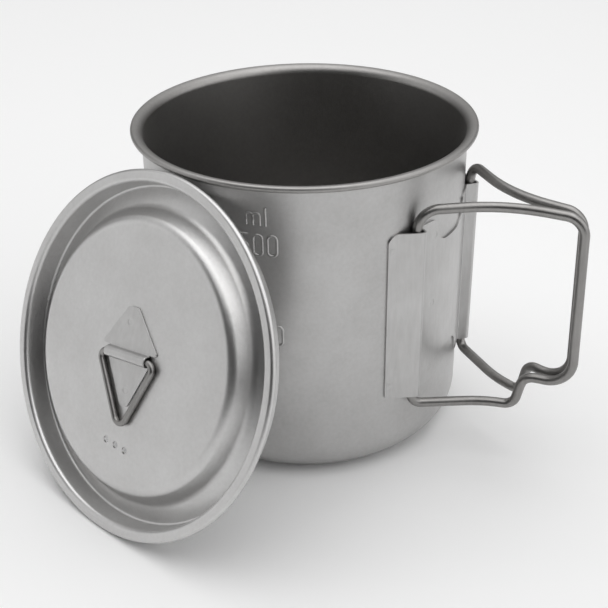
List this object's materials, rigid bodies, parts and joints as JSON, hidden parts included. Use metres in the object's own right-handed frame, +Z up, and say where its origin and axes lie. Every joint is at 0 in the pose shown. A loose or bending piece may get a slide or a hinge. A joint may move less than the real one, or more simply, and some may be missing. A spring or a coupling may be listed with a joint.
{
  "type": "camping cook pot set",
  "caption": "Thin-walled metal camping pot with two folding wire handles hinged in a welded bracket, and a loose lid with a folding triangular pull ring leaning against it.",
  "frame": {"origin": "centre of the pot's flat base, on the ground", "axes": "+Z up along the pot's axis; +X from the pot's axis out through the handles; the lid leans on the -Y side"},
  "size_m": [0.1516, 0.1408, 0.0943],
  "materials": {
    "titanium_sheet": "bead-blasted titanium",
    "titanium_wire": "drawn titanium wire"
  },
  "bodies": {
    "pot": {"pot_body": "titanium_sheet", "handle_bracket": "titanium_sheet", "bracket_spot_welds": "titanium_sheet"},
    "handle_near": {"handle_wire_near": "titanium_wire"},
    "handle_far": {"handle_wire_far": "titanium_wire"},
    "lid": {"lid_shell": "titanium_sheet", "lid_tab": "titanium_sheet", "tab_spot_welds": "titanium_sheet"},
    "lid_ring": {"pull_ring": "titanium_wire"}
  },
  "joints": [
    {"name": "handle_near_fold", "type": "hinge", "parent": "pot", "child": "handle_near", "pos_m": [0.0449, -0.01833, 0.05], "axis": [0, 0, -1], "range_deg": [0, 143]},
    {"name": "handle_far_fold", "type": "hinge", "parent": "pot", "child": "handle_far", "pos_m": [0.0449, 0.01833, 0.05], "axis": [0, 0, 1], "range_deg": [0, 143]},
    {"name": "lid_lift", "type": "slide", "parent": "pot", "child": "lid", "axis": [-0.218, -0.9012, 0.3746], "range_m": [0, 0.12]},
    {"name": "pull_ring_fold", "type": "hinge", "parent": "lid", "child": "lid_ring", "pos_m": [-0.01492, -0.07104, 0.0478], "axis": [-0.9743, 0.1787, -0.137], "range_deg": [0, 165]}
  ]
}
